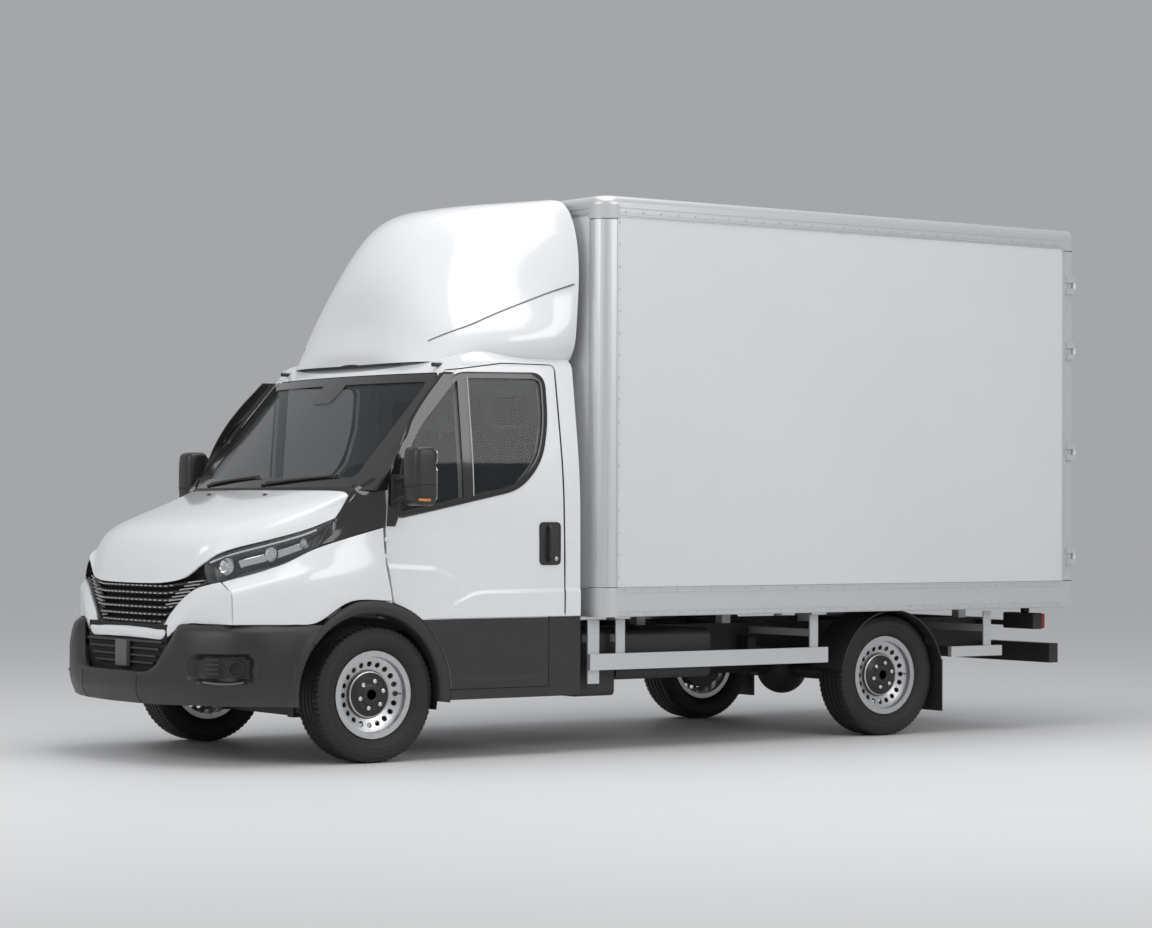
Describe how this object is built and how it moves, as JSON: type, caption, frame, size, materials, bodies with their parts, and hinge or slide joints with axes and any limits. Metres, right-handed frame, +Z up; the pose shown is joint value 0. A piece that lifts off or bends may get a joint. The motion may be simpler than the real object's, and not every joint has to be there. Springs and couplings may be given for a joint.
{
  "type": "box van",
  "caption": "Box van on single rear wheels with a panelled load body, twin rear doors, a three-seat cab, opening bonnet and a roof air deflector.",
  "frame": {"origin": "on the ground, under the middle of the overall length and width", "axes": "+Z up, front of the vehicle towards -Y, its left side towards +X"},
  "size_m": [2.526, 5.811, 2.9599],
  "materials": {
    "body_white": "gloss",
    "panel_white": "gloss",
    "alu_profile": "satin",
    "black_plastic": "textured",
    "gloss_black": "gloss",
    "chassis_black": "satin",
    "cast_metal": "rough",
    "engine_metal": "rough",
    "exhaust_steel": "satin",
    "wheel_silver": "satin",
    "tyre_rubber": "matte",
    "window_glass": "gloss",
    "lamp_clear": "gloss",
    "lamp_red": "gloss",
    "dark_plastic": "grained",
    "seat_fabric": "woven",
    "floor_ply": "coated"
  },
  "bodies": {
    "chassis": {"front_suspension": "chassis_black", "chassis_rails": "chassis_black", "chassis_crossmembers": "chassis_black", "engine_block": "engine_metal", "propshaft": "chassis_black", "rear_axle": "chassis_black", "leaf_springs": "chassis_black", "exhaust": "exhaust_steel", "side_tanks": "black_plastic", "floor_bearers": "alu_profile", "box_floor": "floor_ply", "box_front_posts": "alu_profile", "box_rails": "alu_profile", "box_side_panels": "panel_white", "box_front_wall": "panel_white", "box_roof": "panel_white", "rear_frame": "alu_profile", "side_guards": "alu_profile", "mudguards": "black_plastic", "underrun_bar": "black_plastic", "tail_lamps": "lamp_red", "cab_shell": "body_white", "windscreen": "window_glass", "arch_flares": "black_plastic", "cab_sills": "black_plastic", "headlamps": "lamp_clear", "front_grilles": "black_plastic", "pillar_trims": "gloss_black", "front_wings": "body_white", "nose_panel": "body_white", "front_bumper": "black_plastic", "roof_deflector": "body_white", "dashboard": "dark_plastic", "cab_seats": "seat_fabric"},
    "knuckle_left": {"knuckle_left": "cast_metal"},
    "knuckle_right": {"knuckle_right": "cast_metal"},
    "wheel_front_left": {"tyre_front_left": "tyre_rubber", "rim_front_left": "wheel_silver"},
    "wheel_front_right": {"tyre_front_right": "tyre_rubber", "rim_front_right": "wheel_silver"},
    "wheel_rear_left": {"tyre_rear_left": "tyre_rubber", "rim_rear_left": "wheel_silver"},
    "wheel_rear_right": {"tyre_rear_right": "tyre_rubber", "rim_rear_right": "wheel_silver"},
    "cab_door_left": {"door_left": "body_white", "door_glass_left": "window_glass", "mirror_left": "black_plastic"},
    "cab_door_right": {"door_right": "body_white", "door_glass_right": "window_glass", "mirror_right": "black_plastic"},
    "bonnet": {"bonnet": "body_white"},
    "steering_wheel": {"steering_wheel": "dark_plastic"},
    "rear_door_left": {"rear_door_left": "panel_white"},
    "rear_door_right": {"rear_door_right": "panel_white"}
  },
  "joints": [
    {"name": "steer_left", "type": "hinge", "parent": "chassis", "child": "knuckle_left", "pos_m": [0.79, -1.9055, 0.345], "axis": [0, 0, 1], "range_deg": [-36, 36]},
    {"name": "steer_right", "type": "hinge", "parent": "chassis", "child": "knuckle_right", "pos_m": [-0.79, -1.9055, 0.345], "axis": [0, 0, 1], "range_deg": [-36, 36]},
    {"name": "steering_wheel_turn", "type": "hinge", "parent": "chassis", "child": "steering_wheel", "pos_m": [-0.46, -1.5755, 1.33], "axis": [0, 0.5736, 0.8192], "range_deg": [-540, 540]},
    {"name": "wheel_front_left_spin", "type": "hinge", "parent": "knuckle_left", "child": "wheel_front_left", "pos_m": [0.862, -1.9055, 0.345], "axis": [1, 0, 0], "continuous": true},
    {"name": "wheel_front_right_spin", "type": "hinge", "parent": "knuckle_right", "child": "wheel_front_right", "pos_m": [-0.862, -1.9055, 0.345], "axis": [1, 0, 0], "continuous": true},
    {"name": "wheel_rear_left_spin", "type": "hinge", "parent": "chassis", "child": "wheel_rear_left", "pos_m": [0.845, 1.5445, 0.345], "axis": [1, 0, 0], "continuous": true},
    {"name": "wheel_rear_right_spin", "type": "hinge", "parent": "chassis", "child": "wheel_rear_right", "pos_m": [-0.845, 1.5445, 0.345], "axis": [1, 0, 0], "continuous": true},
    {"name": "cab_door_left_swing", "type": "hinge", "parent": "chassis", "child": "cab_door_left", "pos_m": [0.986, -1.8595, 1.113], "axis": [0, 0, -1], "range_deg": [0, 70]},
    {"name": "cab_door_right_swing", "type": "hinge", "parent": "chassis", "child": "cab_door_right", "pos_m": [-0.986, -1.8595, 1.113], "axis": [0, 0, 1], "range_deg": [0, 70]},
    {"name": "bonnet_lift", "type": "hinge", "parent": "chassis", "child": "bonnet", "pos_m": [0, -2.0195, 1.364], "axis": [-1, 0, 0], "range_deg": [0, 50]},
    {"name": "rear_door_left_swing", "type": "hinge", "parent": "chassis", "child": "rear_door_left", "pos_m": [1.088, 2.8955, 1.825], "axis": [0, 0, -1], "range_deg": [0, 250]},
    {"name": "rear_door_right_swing", "type": "hinge", "parent": "chassis", "child": "rear_door_right", "pos_m": [-1.088, 2.8955, 1.825], "axis": [0, 0, 1], "range_deg": [0, 250]}
  ],
  "couplings": [
    {"joint": "steer_right", "follows": "steer_left", "ratio": 1},
    {"joint": "steering_wheel_turn", "follows": "steer_left", "ratio": 15}
  ]
}
